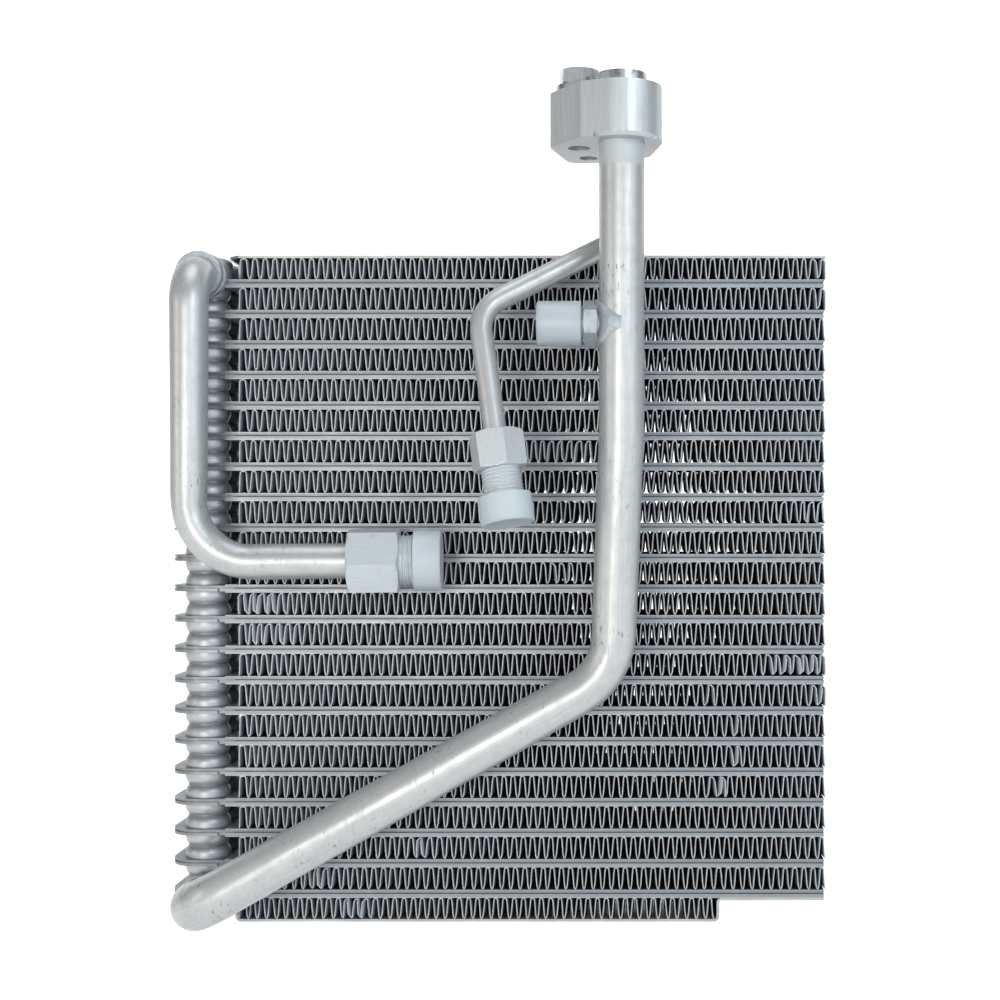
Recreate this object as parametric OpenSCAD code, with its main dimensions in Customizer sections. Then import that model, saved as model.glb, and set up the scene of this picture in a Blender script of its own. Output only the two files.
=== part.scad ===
/* [Core] */
// Number of flat tubes, each a brazed pair of pressed plates
tube_count = 21; // [21:1:21]
// Distance from one tube to the next
tube_pitch = 11.5; // [10.5:0.1:13]
// Thickness of a tube at its channels
tube_t = 3.0; // [2.6:0.1:3.6]
// Depth of the core from front to back
core_depth = 38; // [36:0.5:60]
// Width of the finned field
fin_field_w = 221.5; // [180:0.5:260]
// Length of the tank end of each plate, beyond the fins
tank_end_l = 26.3; // [26:0.05:30]

/* [Plates] */
// Thickness of the plate pair at its tank end
rim_t = 2.3; // [1.8:0.1:2.5]
// Height of the seam groove between the two plates
seam_t = 0.5; // [0.2:0.1:0.6]
// Depth of the seam groove
seam_d = 0.6; // [0.3:0.1:0.9]
// Height of the groove over the middle of the tube
seam_rise = 0.2; // [0:0.05:0.3]
// Thickness of the plates' walls
plate_wall = 0.55; // [0.4:0.05:0.7]
// Corner radius of the tank end
plate_corner_r = 10; // [6:0.5:12]
// Width of the notch where the tank end meets the channel
notch_w = 2.8; // [1.5:0.1:3]
// Depth of that notch
notch_d = 1.4; // [0.8:0.1:1.5]
// Width of the rib between the two lanes of a tube
rib_w = 3; // [2:0.5:6]

/* [Tank cups] */
// Radius of a cup at its foot
cup_foot_r = 8.4; // [7.6:0.1:8.4]
// Radius of the cup's neck
cup_neck_r = 6.9; // [6.4:0.1:7]
// Radius of the rim where two cups meet
cup_rim_r = 7.2; // [7.1:0.1:7.5]
// Radius of the opening through the cups
cup_bore_r = 5.6; // [4:0.1:5.8]
// Distance from the plate's front edge to the cup's foot
cup_ledge = 1.6; // [1.5:0.1:2]
// Height of the cup's straight foot
cup_foot_h = 1.1; // [0.5:0.1:1.5]
// Radius of the cup's shoulder
cup_shoulder_r = 1.9; // [1.5:0.1:2.4]
// Height of the rim
cup_rim_h = 0.4; // [0.2:0.1:0.6]

/* [Fins] */
// Waves in a full fin strip
fin_waves = 63; // [40:1:75]
// Waves in the short strip under the last tube
short_fin_waves = 51; // [30:1:58]
// Thickness of the fin strip
fin_t = 0.25; // [0.1:0.05:0.3]
// Width of a fin's flat crest
fin_crest_w = 0.8; // [0.6:0.1:1.1]
// Set-back of the fins from the plate edges
fin_inset = 0.3; // [0.2:0.1:3]
// Height of the two outer fin strips
end_fin_h = 8.1; // [7.6:0.1:9]
// Reach of the first strip's splayed end
fin_tail_l = 3.6; // [0.5:0.1:4]
// Drop of that splayed end
fin_tail_drop = 2.6; // [1:0.1:4]

/* [End plates] */
// Thickness of the end plates
end_plate_t = 1.0; // [0.8:0.1:1.2]
// Overhang of the top plate past the fins
top_overhang = 4; // [1:0.1:5]
// Length of the bottom plate's lip
end_lip_l = 4.6; // [3:0.1:6]
// Angle of that lip from the plate
end_lip_angle = 74; // [40:1:80]
// Radius of the bends in the bottom plate
end_bend_r = 1.5; // [1:0.1:2]

/* [Bosses] */
// Height of the inlet pipe's axis over the inlet tube
inlet_rise = 2.6; // [2:0.1:4]
// Drop of the outlet pipe's axis under the last tube
outlet_drop = 0.9; // [0:0.1:1]
// Sideways offset of the inlet pipe from the tank
inlet_offset = 0.5; // [0:0.1:1]
// Sideways offset of the outlet pipe from the tank
outlet_offset = 1.5; // [0:0.1:2]
// Radius of the inlet collar
inlet_collar_r = 8.7; // [8:0.1:9.5]
// Radius of the outlet collar
outlet_collar_r = 9.2; // [8:0.1:9.5]
// Radius of the base disc behind a collar
disc_r = 8.3; // [8:0.1:9]
// Sideways offset of the base disc from the pipe
disc_offset = 1.2; // [0:0.1:2]
// Thickness of the collar
collar_t = 3.5; // [3:0.1:5]
// Thickness of the base disc in front of the plates
disc_t = 3.5; // [2.5:0.1:5]
// Height of the closing cups over the first tube and under the last
end_cup_h = 9.2; // [8:0.1:9.2]
// Radius of the closing cup's wall
end_cup_wall_r = 9.1; // [8.6:0.1:9.4]
// Height of the closing cup's narrower foot
end_cup_foot_h = 0.5; // [0.45:0.05:1]
// Radius of the closing cup's shoulder
end_cup_r = 2; // [1.5:0.5:3.5]

/* [Pipes] */
// Outside diameter of the inlet pipe at its elbow
inlet_elbow_d = 14; // [12.7:0.1:14.4]
// Outside diameter of the inlet pipe's spigot in its boss
inlet_spigot_d = 12; // [10:0.5:12.5]
// Outside diameter of the inlet pipe at its lower bend
inlet_bend_d = 13.1; // [12.7:0.1:14]
// Outside diameter of the inlet pipe at its nut
inlet_d = 12.7; // [12:0.1:12.7]
// Outside diameter of the outlet pipe
outlet_d = 16; // [15:0.1:16.6]
// Outside diameter of the outlet pipe at its elbow
outlet_elbow_d = 17.6; // [16.6:0.1:18]
// Outside diameter of the outlet pipe's spigot in its boss
outlet_spigot_d = 13; // [11:0.5:14]
// Outside diameter of the liquid pipe
liquid_d = 8; // [7:0.1:8.5]
// Wall of the pipes
pipe_wall = 1.2; // [0.8:0.1:1.5]
// Swelling of a pipe's wall, on each side, at its bends
bend_swell = 0.03; // [0.03:0.01:0.1]
// Gap round a pipe in its socket
braze_gap = 0.1; // [0.05:0.05:0.2]
// Depth of a pipe's seat in its socket
socket_d = 5; // [4:0.5:6]
// Distance from the core's face to the inlet pipe's axis
inlet_reach = 19.15; // [19.15:0.05:24]
// Distance from the core's face to the outlet pipe's elbow
outlet_reach = 25.85; // [24:0.05:30]
// Height of the inlet pipe's lower corner
inlet_run_z = 136.1; // [120:0.1:150]
// Rise of the inlet pipe's lower run towards its cap
inlet_run_rise = 0.7; // [0:0.1:2]
// Set-back of that run towards the core
inlet_run_back = 5.8; // [0:0.1:6]
// Bend radius of the inlet elbow
inlet_elbow_r = 12; // [10:0.5:12]
// Bend radius of the inlet pipe's lower bend
inlet_bend_r = 23; // [18:0.5:26]
// Bend radius of the outlet pipe's elbow
outlet_elbow_r = 13.5; // [12:0.5:16]
// Bend radius of the outlet pipe's main bend
outlet_bend_r = 21; // [18:0.5:30]
// Bend radius of the outlet pipe's slight bend
outlet_slight_r = 150; // [80:10:300]
// Bend radius of the liquid pipe
liquid_bend_r = 13; // [10:0.5:15]

/* [Nuts and caps] */
// Width across flats of the inlet nut
inlet_nut_af = 22; // [21:0.5:24]
// Length of the inlet nut's hexagon
inlet_nut_l = 18.8; // [14:0.1:22]
// Thread diameter of the inlet nut
inlet_thread_d = 19.05; // [18.5:0.05:19.5]
// Visible length of the inlet nut's thread
inlet_thread_show = 5.3; // [3:0.1:8]
// Diameter of the inlet nut's plastic cap
inlet_cap_d = 22.7; // [21.5:0.1:23]
// Length of the inlet nut's plastic cap
inlet_cap_l = 10; // [9:0.1:14]
// Width across flats of the liquid nut
liquid_nut_af = 17; // [16:0.5:19]
// Length of the liquid nut's hexagon
liquid_nut_l = 13.2; // [10:0.1:16]
// Thread diameter of the liquid nut
liquid_thread_d = 14; // [13.5:0.1:15]
// Visible length of the liquid nut's thread
liquid_thread_show = 9.5; // [3:0.1:10]
// Diameter of the liquid nut's plastic cap
liquid_cap_d = 18.6; // [17:0.1:20]
// Length of the liquid nut's plastic cap
liquid_cap_l = 10; // [9:0.1:14]
// Thickness of a plastic cap's closed end
cap_floor_t = 1.6; // [1.2:0.1:2.4]
// Clearance between a cap and the thread inside it
cap_gap = 0.15; // [0.05:0.05:0.3]
// Clearance between a nut and its pipe
nut_gap = 0.15; // [0.05:0.05:0.3]
// Height of the bead on a pipe that holds its nut
bead_h = 1.5; // [1:0.1:1.7]
// Length of that bead
bead_l = 2; // [1.5:0.1:3]
// Chamfer at the rims of caps and threads
rim_chamfer = 0.6; // [0.4:0.1:1.2]

/* [Service port] */
// Height of the port's axis over the lowest face
port_z = 221.1; // [200:0.5:240]
// Width across flats of the port's hexagon
port_af = 14; // [13:0.5:15]
// Distance from the pipe's axis to the hexagon's outer face
port_reach = 13.4; // [12:0.1:18]
// Length of the port's hexagon
port_hex_l = 5; // [3:0.1:5]
// Length of the port's thread between the hexagon and the cap
port_show = 0.9; // [0.2:0.1:3]
// Thread diameter of the port
port_thread_d = 11; // [9:0.1:12]
// Diameter of the port's plastic cap
port_cap_d = 15.8; // [15:0.1:18]
// Length of the port's plastic cap
port_cap_l = 15.6; // [13:0.1:20]
// Diameter of the way through the port
port_bore_d = 4; // [3:0.5:6]
// Thickness of the saddle on the pipe
saddle_t = 1.5; // [1:0.1:2.5]

/* [Connector block] */
// Height of the block's lower face
block_z = 284.3; // [270:0.1:300]
// Height of the block
block_h = 19.4; // [16:0.1:24]
// Radius of the block's front, round the large port
block_front_r = 14.2; // [13:0.1:16]
// Diameter of the hole for the fixing stud
stud_hole_d = 6.7; // [6:0.1:7]
// Diameter of the shipping bolt's thread
bolt_d = 8; // [6:0.5:8]
// Clearance between the bolt and its hole
bolt_gap = 0.05; // [0.02:0.01:0.2]
// Length of the bolt under its head
bolt_l = 16; // [12:1:19]
// Width across flats of the bolt's head
bolt_af = 13; // [11:0.5:14]
// Height of the bolt's head over its washer face
bolt_head_h = 5.3; // [4:0.1:6]
// Thickness of the shipping plate
ship_plate_t = 2.2; // [1.5:0.1:3]
// Diameter of the disc that closes the large port
ship_disc_d = 17.4; // [16:0.1:17.6]
// Height of that disc over the plate
ship_disc_h = 2.3; // [1:0.1:3]
// Chamfer under the block's front
block_chamfer = 1.2; // [0.5:0.1:2]

/* [Hidden] */
$fn = 48;
eps = 0.01;

fin_h = tube_pitch - tube_t;
fin_pitch = fin_field_w / fin_waves;
fin_depth = core_depth - 2 * fin_inset;
field_left = -fin_field_w / 2;
field_right = fin_field_w / 2;
front_y = -core_depth / 2;
plate_left = field_left - tank_end_l;
plate_right = field_right - fin_crest_w;
last_tube_z = end_plate_t + end_fin_h + tube_t / 2;
first_tube_z = last_tube_z + (tube_count - 1) * tube_pitch;
top_plate_z = first_tube_z + tube_t / 2 + end_fin_h;
step_x = field_left + short_fin_waves * fin_pitch + end_bend_r;
cup_x = plate_left + 12.55;
cup_y = front_y + cup_ledge + cup_foot_r;
channel_left = plate_left + 21.4;
notch_x = channel_left - notch_w;

// Axes and corners of the three pipes
collar_face_y = front_y - disc_t - collar_t;
inlet_z = first_tube_z + inlet_rise;
outlet_z = last_tube_z - outlet_drop;
inlet_y = front_y - inlet_reach;
outlet_y = front_y - outlet_reach;
inlet_x = cup_x + inlet_offset;
outlet_x = cup_x + outlet_offset;
inlet_corner = [inlet_x, inlet_y, inlet_run_z];
inlet_tip = [-32.3, inlet_y + inlet_run_back, inlet_run_z + inlet_run_rise];
inlet_dir = (inlet_tip - inlet_corner) / norm(inlet_tip - inlet_corner);
port_x = 34.4;
port_y = -60.35;
outlet_points = [
    [port_x, port_y, block_z + socket_d],
    [34.37, -56.85, 185.3],
    [30.85, -48.85, 96.5],
    [outlet_x, outlet_y, outlet_z],
    [outlet_x, collar_face_y, outlet_z]];
small_port_at = [-0.4, 21.5];
liquid_top = [port_x + small_port_at.x, port_y + small_port_at.y];
liquid_high_corner = [liquid_top.x, liquid_top.y, 254.3];
liquid_low_corner = [-16.4, -56.85, 226];
liquid_tip = [-4.6, -70.85, 150.4];
liquid_dir = (liquid_tip - liquid_low_corner) / norm(liquid_tip - liquid_low_corner);

// Plan of the block from the large port's axis: centres of its rounds
bolt_at = [-15.3, 8.8];
stud_at = [-12.6, 25.5];
block_front_left = [-9.6, -3.4];
block_left_corner = [-24.1, 8.3];
block_rear_left = [-16.4, 29.8];
block_rear_right = [-8, 32.3];
block_right_corner = [4.9, 19.8];
block_top = block_z + block_h;

function tube_z(i) = first_tube_z - (i - 1) * tube_pitch;
function unit(v) = v / norm(v);

// A strip of sheet along a line of points: each point moves off the line by a mitre
function left_normal(a, b) = let (d = unit(b - a)) [-d.y, d.x];
function mitred(p, i, d) =
    let (last = len(p) - 1,
         n = left_normal(p[max(i - 1, 0)], p[max(i, 1)]),
         m = left_normal(p[min(i, last - 1)], p[min(i + 1, last)]))
    p[i] + d * (n + m) / (1 + n * m);
module sheet(p, t) {
    polygon(concat(
        [for (i = [0 : len(p) - 1]) mitred(p, i, t / 2)],
        [for (i = [len(p) - 1 : -1 : 0]) mitred(p, i, -t / 2)]));
}

// A profile in the XZ plane, drawn through the depth of the fins
module through_core() {
    rotate([90, 0, 0])
        linear_extrude(fin_depth, center = true)
            children();
}

// Points of a rounded corner b between a and c
function rounded_corner(a, b, c, r, steps = 4) =
    let (u = unit(a - b), v = unit(c - b),
         half = acos(u * v) / 2,
         centre = b + unit(u + v) * r / sin(half),
         start = b + u * r / tan(half) - centre,
         turn = (cross(u, v) > 0 ? -1 : 1) * (180 - 2 * half))
    [for (k = [0 : steps])
        let (w = turn * k / steps)
        centre + [start.x * cos(w) - start.y * sin(w), start.x * sin(w) + start.y * cos(w)]];

// Where a straight line touches two rounds, on the right of the way from the first to the second
function tangent_pair(a, b) =
    let (d = b[0] - a[0],
         lean = asin((a[1] - b[1]) / norm(d)),
         dir = atan2(d.y, d.x) - 90 + lean,
         n = [cos(dir), sin(dir)])
    [a[0] + a[1] * n, b[0] + b[1] * n];

// A band stretched round a counterclockwise list of [centre, radius]
module band(rounds) {
    n = len(rounds);
    polygon([for (i = [0 : n - 1]) each tangent_pair(rounds[i], rounds[(i + 1) % n])]);
    for (round = rounds)
        translate(round[0])
            circle(round[1]);
}

// Half profile of a cup: straight foot, round shoulder and neck
module cup_profile(foot_r, neck_r, foot_h, shoulder_r, h) {
    square([foot_r, foot_h]);
    square([foot_r - shoulder_r, foot_h + shoulder_r]);
    translate([foot_r - shoulder_r, foot_h])
        circle(shoulder_r);
    square([neck_r, h]);
}

// One cup, from the plate's face up to the rim where it meets the next one
module cup() {
    h = (tube_pitch - rim_t) / 2;
    rotate_extrude() {
        cup_profile(cup_foot_r, cup_neck_r, cup_foot_h, cup_shoulder_r, h);
        translate([0, h - cup_rim_h])
            square([cup_rim_r, cup_rim_h]);
    }
}

// The front tank's place; the rear tank mirrors it
module both_tanks() {
    for (side = [0, 1])
        mirror([0, side, 0])
            translate([cup_x, cup_y, 0])
                children();
}

// Plan of a plate with its rounded tank end, drawn in by an inset
module plate_outline(inset) {
    r = plate_corner_r - inset;
    depth = core_depth - 2 * inset;
    right = plate_right - inset;
    translate([plate_left + plate_corner_r, -depth / 2])
        square([right - plate_left - plate_corner_r, depth]);
    translate([plate_left + inset, -depth / 2 + r])
        square([right - plate_left - inset, depth - 2 * r]);
    for (side = [-1, 1])
        translate([plate_left + plate_corner_r, side * (core_depth / 2 - plate_corner_r)])
            circle(r);
}

// Plan of the passage: two lanes that join at the right-hand end
module passage() {
    edge = seam_d + plate_wall;
    left = channel_left + plate_wall;
    right = plate_right - edge;
    depth = core_depth - 2 * edge;
    difference() {
        translate([left, -depth / 2])
            square([right - left, depth]);
        translate([left - eps, -rib_w / 2])
            square([right - left - depth / 2, rib_w]);
    }
}

module tube(z, upper_cups, lower_cups) {
    neck_w = 6;
    low_reach = lower_cups ? tube_pitch : rim_t / 2 - plate_wall;
    high_reach = upper_cups ? tube_pitch : rim_t / 2 - plate_wall;
    color("lightsteelblue")
        translate([0, 0, z])
            difference() {
                union() {
                    linear_extrude(rim_t, center = true)
                        plate_outline(0);
                    translate([channel_left, front_y, -tube_t / 2])
                        cube([plate_right - channel_left, core_depth, tube_t]);
                    both_tanks() {
                        if (upper_cups)
                            translate([0, 0, rim_t / 2])
                                cup();
                        if (lower_cups)
                            mirror([0, 0, 1])
                                translate([0, 0, rim_t / 2])
                                    cup();
                    }
                }
                // Seam groove round the edge
                translate([0, 0, seam_rise])
                    linear_extrude(seam_t, center = true)
                        difference() {
                            translate([plate_left - 1, front_y - 1])
                                square([plate_right - plate_left + 2, core_depth + 2]);
                            plate_outline(seam_d);
                        }
                // Lanes between the plates, and the necks that join them to the two tanks
                linear_extrude(tube_t - 2 * plate_wall, center = true)
                    passage();
                for (side = [-1, 1])
                    translate([cup_x, -side * cup_y - neck_w / 2, -rim_t / 2 + plate_wall])
                        cube([channel_left - cup_x + 2, neck_w, rim_t - 2 * plate_wall]);
                // Ways through the tanks, closed where a plate ends the stack
                both_tanks()
                    translate([0, 0, -low_reach])
                        cylinder(r = cup_bore_r, h = low_reach + high_reach);
                // The pipes enter the front tank at the two ends of the stack
                translate([cup_x, cup_y, -tube_pitch])
                    cylinder(r = cup_bore_r, h = 2 * tube_pitch);
                // Notches in the lower plate
                for (side = [0, 1])
                    mirror([0, side, 0])
                        translate([notch_x, front_y - 1, -tube_t])
                            cube([notch_w, notch_d + 1, tube_t + seam_rise - seam_t / 2]);
            }
}

// Centre line of a corrugated strip: flat crests joined by leaning legs
function fin_line(waves, rise) =
    [for (k = [0 : 2 * waves - 1])
        each [[k * fin_pitch / 2, (k % 2) * rise], [k * fin_pitch / 2 + fin_crest_w, (k % 2) * rise]]];

module fin(i) {
    last = i == tube_count + 1;
    h = i == 1 || last ? end_fin_h : fin_h;
    rise = h - fin_t;
    low = last ? end_plate_t : tube_z(i) + tube_t / 2;
    // The first strip's free end is splayed outwards
    tail = [[-fin_tail_l, rise - fin_t], [-fin_t / 2, rise - fin_tail_drop]];
    color("gainsboro")
        translate([field_left + fin_t, 0, low + fin_t / 2])
            through_core()
                sheet(concat(i == 1 ? tail : [], fin_line(last ? short_fin_waves : fin_waves, rise)), fin_t);
}

module top_end_plate() {
    left = field_left - top_overhang;
    half = fin_depth / 2;
    color("silver")
        translate([0, 0, top_plate_z])
            linear_extrude(end_plate_t)
                polygon([[left, top_overhang - half], [field_left, -half], [field_right, -half],
                         [field_right, half], [field_left, half], [left, half - top_overhang]]);
}

// The lower plate steps up beside the short fin strip and runs on under the last tube
module bottom_end_plate() {
    low = end_plate_t / 2;
    high = last_tube_z - tube_t / 2 - end_plate_t / 2;
    lip = [field_left - end_lip_l * cos(end_lip_angle), low + end_lip_l * sin(end_lip_angle)];
    color("silver")
        through_core()
            sheet(concat(
                [lip],
                rounded_corner(lip, [field_left, low], [step_x, low], end_bend_r),
                rounded_corner([field_left, low], [step_x, low], [step_x, high], end_bend_r),
                rounded_corner([step_x, low], [step_x, high], [field_right, high], end_bend_r),
                [[plate_right, high]]), end_plate_t);
}

// A cup that closes the front tank, with the boss that takes a pipe: up is 1 over the stack and -1 under it
module end_cup(seat_z, up, axis_x, axis_z, collar_r, spigot_d) {
    port_r = 3;
    cup_wall = 1.2;
    port_z = seat_z + up * (end_cup_h / 2 - 0.4);
    color("lightgray")
        difference() {
            union() {
                translate([cup_x, cup_y, seat_z])
                    mirror([0, 0, (1 - up) / 2])
                        rotate_extrude() {
                            square([cup_foot_r, end_cup_h / 2]);
                            translate([0, end_cup_foot_h])
                                cup_profile(end_cup_wall_r, end_cup_r, end_cup_h - end_cup_foot_h - end_cup_r,
                                            end_cup_r, end_cup_h - end_cup_foot_h);
                        }
                // The base disc stops where the plate's edge lies against it
                difference() {
                    translate([axis_x + disc_offset, front_y - disc_t, axis_z])
                        rotate([-90, 0, 0])
                            cylinder(r = disc_r, h = disc_t + cup_ledge + cup_foot_r);
                    translate([cup_x, front_y + 50, seat_z + up * (end_cup_foot_h - 50)])
                        cube(100, center = true);
                }
                translate([axis_x, collar_face_y, axis_z])
                    rotate([-90, 0, 0])
                        cylinder(r = collar_r, h = collar_t + eps);
            }
            // Socket for the pipe, and the way from it into the cup
            translate([axis_x, collar_face_y - eps, axis_z])
                rotate([-90, 0, 0])
                    cylinder(d = spigot_d + 2 * braze_gap, h = socket_d + eps);
            translate([cup_x, collar_face_y, port_z])
                rotate([-90, 0, 0])
                    cylinder(r = port_r, h = cup_y - collar_face_y);
            translate([cup_x, cup_y, seat_z - up * eps])
                mirror([0, 0, (1 - up) / 2])
                    cylinder(r = cup_bore_r, h = end_cup_h - cup_wall);
        }
}

// Bends of a pipe: p are its corners, bends the radii at them, and size holds each straight's outside
// radius at its start and end
function turn(p, i) = acos(unit(p[i] - p[i - 1]) * unit(p[i + 1] - p[i]));
function turn_axis(p, i) = unit(cross(p[i] - p[i - 1], p[i + 1] - p[i]));
function setback(p, bends, i) = i == 0 || i == len(p) - 1 ? 0 : bends[i] * tan(turn(p, i) / 2);
function twist(p, i) =
    let (u = unit(p[i + 1] - p[i]), a = turn_axis(p, i), b = turn_axis(p, i + 1))
    atan2(cross(a, b) * u, a * b);

// A length of pipe whose outside radius runs from r1 to r2
module straight(r1, r2, h) {
    difference() {
        cylinder(r1 = r1, r2 = r2, h = h);
        translate([0, 0, -eps])
            cylinder(r1 = r1 - pipe_wall, r2 = r2 - pipe_wall, h = h + 2 * eps);
    }
}

// A bend about +Y that starts along +Z, its wall slightly thicker than the straights'
module bend(bend_r, r, angle) {
    translate([bend_r, 0, 0])
        rotate([90, 0, 180])
            rotate_extrude(angle = angle)
                translate([bend_r, 0])
                    difference() {
                        circle(r + bend_swell);
                        circle(r - pipe_wall - bend_swell);
                    }
}

module pipe_from(p, bends, size, i) {
    lap = 10 * bend_swell;
    length = norm(p[i + 1] - p[i]) - setback(p, bends, i) - setback(p, bends, i + 1);
    before = i == 0 ? 0 : lap;
    after = i == len(p) - 2 ? 0 : lap;
    translate([0, 0, -before])
        straight(size[i][0], size[i][1], before + length + after);
    if (i < len(p) - 2) {
        r = bends[i + 1];
        angle = turn(p, i + 1);
        translate([0, 0, length])
            rotate([0, 0, i == 0 ? 0 : twist(p, i)]) {
                bend(r, size[i][1], angle);
                translate([r, 0, 0])
                    rotate([0, angle, 0])
                        translate([-r, 0, 0])
                            pipe_from(p, bends, size, i + 1);
            }
    }
}

// Places its children with +X, +Y and +Z along three unit vectors
module frame_at(at, x, y, z) {
    multmatrix([[x[0], y[0], z[0], at[0]], [x[1], y[1], z[1], at[1]], [x[2], y[2], z[2], at[2]]])
        children();
}

module pipe(p, bends, size) {
    z = unit(p[1] - p[0]);
    y = turn_axis(p, 1);
    frame_at(p[0], cross(y, z), y, z)
        pipe_from(p, bends, size, 0);
}

// Places its children with +Z along dir and +Y as near the viewer as it goes
module aim(at, dir, spin = 0) {
    z = unit(dir);
    x = unit(cross([0, -1, 0], z));
    frame_at(at, x, cross(z, x), z)
        rotate([0, 0, spin])
            children();
}

// A bar's hexagon with its corners turned off at both ends
module hexagon(af, length) {
    corner_r = af / sqrt(3);
    drop = corner_r - af / 2;
    intersection() {
        cylinder(r = corner_r, h = length, $fn = 6);
        rotate_extrude()
            polygon([[0, 0], [corner_r - drop, 0], [corner_r, drop / 2],
                     [corner_r, length - drop / 2], [corner_r - drop, length], [0, length]]);
    }
}

// A nut on its pipe: the thread's bore is wider, so that the pipe's bead bears on a shoulder
module tube_nut(af, length, thread_d, thread_l, pipe_d) {
    color("gainsboro")
        difference() {
            union() {
                hexagon(af, length);
                cylinder(d = thread_d, h = length + thread_l - rim_chamfer);
                translate([0, 0, length + thread_l - rim_chamfer])
                    cylinder(d1 = thread_d, d2 = thread_d - 2 * rim_chamfer, h = rim_chamfer);
            }
            translate([0, 0, -eps])
                cylinder(d = pipe_d + 2 * nut_gap, h = length + 2 * eps);
            translate([0, 0, length])
                cylinder(d = pipe_d + 2 * bead_h + 2 * nut_gap, h = thread_l + eps);
        }
}

// A ring, such as the bead round a pipe
module ring(outer_d, inner_d, h) {
    difference() {
        cylinder(d = outer_d, h = h);
        translate([0, 0, -eps])
            cylinder(d = inner_d, h = h + 2 * eps);
    }
}

// A push-on plastic cap: its mouth is at the origin and its floor rests on the thread's end
module cap(d, length, bore_d) {
    color("aliceblue")
        difference() {
            rotate_extrude()
                polygon([[0, 0], [d / 2 - rim_chamfer / 2, 0], [d / 2, rim_chamfer / 2],
                         [d / 2, length - rim_chamfer], [d / 2 - rim_chamfer, length], [0, length]]);
            translate([0, 0, -eps])
                cylinder(d = bore_d + 2 * cap_gap, h = length - cap_floor_t + eps);
        }
}

inlet_thread_l = inlet_thread_show + inlet_cap_l - cap_floor_t;
liquid_thread_l = liquid_thread_show + liquid_cap_l - cap_floor_t;
inlet_nut_face = inlet_tip - inlet_dir * (inlet_cap_l + inlet_thread_show);
liquid_nut_face = liquid_tip - liquid_dir * (liquid_cap_l + liquid_thread_show);

// The end of a pipe at a boss: it closes down to a spigot that goes into the socket
module spigot(at_x, at_z, elbow_d, spigot_d) {
    bore_d = spigot_d - 2 * pipe_wall;
    translate([at_x, collar_face_y - pipe_wall, at_z])
        rotate([-90, 0, 0]) {
            ring(elbow_d - pipe_wall, bore_d, pipe_wall);
            ring(spigot_d, bore_d, pipe_wall + socket_d);
        }
}

module inlet_pipe() {
    r = inlet_elbow_d / 2;
    bend_r = inlet_bend_d / 2;
    color("lightgray") {
        pipe([[inlet_x, collar_face_y, inlet_z],
              [inlet_x, inlet_y, inlet_z],
              inlet_corner,
              inlet_tip - inlet_dir * (cap_floor_t + 1)],
             [0, inlet_elbow_r, inlet_bend_r, 0], [[r, r], [r, bend_r], [bend_r, inlet_d / 2]]);
        spigot(inlet_x, inlet_z, inlet_elbow_d, inlet_spigot_d);
        aim(inlet_nut_face, inlet_dir)
            ring(inlet_d + 2 * bead_h, inlet_d - pipe_wall, bead_l);
    }
}

module outlet_pipe() {
    r = outlet_d / 2;
    tank_r = outlet_elbow_d / 2;
    color("lightgray") {
        pipe(outlet_points, [0, outlet_slight_r, outlet_bend_r, outlet_elbow_r, 0],
             [[r, r], [r, r], [r, tank_r], [tank_r, tank_r]]);
        spigot(outlet_x, outlet_z, outlet_elbow_d, outlet_spigot_d);
    }
}

module liquid_pipe() {
    r = liquid_d / 2;
    color("lightgray") {
        pipe([[liquid_top.x, liquid_top.y, block_z + socket_d],
              liquid_high_corner,
              liquid_low_corner,
              liquid_tip - liquid_dir * (cap_floor_t + 1)],
             [0, liquid_bend_r, liquid_bend_r, 0], [[r, r], [r, r], [r, r]]);
        aim(liquid_nut_face, liquid_dir)
            ring(liquid_d + 2 * bead_h, liquid_d - pipe_wall, bead_l);
    }
}

module inlet_nut() {
    aim(inlet_nut_face - inlet_dir * inlet_nut_l, inlet_dir, 35)
        tube_nut(inlet_nut_af, inlet_nut_l, inlet_thread_d, inlet_thread_l, inlet_d);
}

module inlet_cap() {
    aim(inlet_nut_face + inlet_dir * inlet_thread_show, inlet_dir)
        cap(inlet_cap_d, inlet_cap_l, inlet_thread_d);
}

module liquid_nut() {
    aim(liquid_nut_face - liquid_dir * liquid_nut_l, liquid_dir, 9)
        tube_nut(liquid_nut_af, liquid_nut_l, liquid_thread_d, liquid_thread_l, liquid_d);
}

module liquid_cap() {
    aim(liquid_nut_face + liquid_dir * liquid_thread_show, liquid_dir)
        cap(liquid_cap_d, liquid_cap_l, liquid_thread_d);
}

// The port's axis leaves the outlet pipe at its height, to the left
function on_outlet(z) =
    let (a = outlet_points[0], b = outlet_points[1])
    a + (b - a) * (z - a[2]) / (b[2] - a[2]);
port_at = on_outlet(port_z);
port_dir = [-1, 0, 0];

module port_fitting() {
    shank_l = port_show + port_cap_l - cap_floor_t;
    saddle_span = port_af * 1.2;
    pipe_dir = outlet_points[1] - outlet_points[0];
    color("lightgray")
        difference() {
            union() {
                aim(port_at, port_dir) {
                    translate([0, 0, port_reach - port_hex_l])
                        hexagon(port_af, port_hex_l);
                    cylinder(d = port_thread_d, h = port_reach + shank_l);
                }
                // The saddle follows the pipe round
                intersection() {
                    aim(on_outlet(port_z + saddle_span), pipe_dir)
                        cylinder(d = outlet_d + 2 * saddle_t, h = 2 * saddle_span);
                    aim(port_at, port_dir)
                        cylinder(d = saddle_span, h = outlet_d);
                }
            }
            aim(on_outlet(port_z + 2 * saddle_span), pipe_dir)
                cylinder(d = outlet_d + 2 * braze_gap, h = 4 * saddle_span);
            aim(port_at, port_dir)
                cylinder(d = port_bore_d, h = port_reach + shank_l + eps);
        }
}

module port_cap() {
    aim(port_at + port_dir * (port_reach + port_show), port_dir)
        cap(port_cap_d, port_cap_l, port_thread_d);
}

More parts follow.
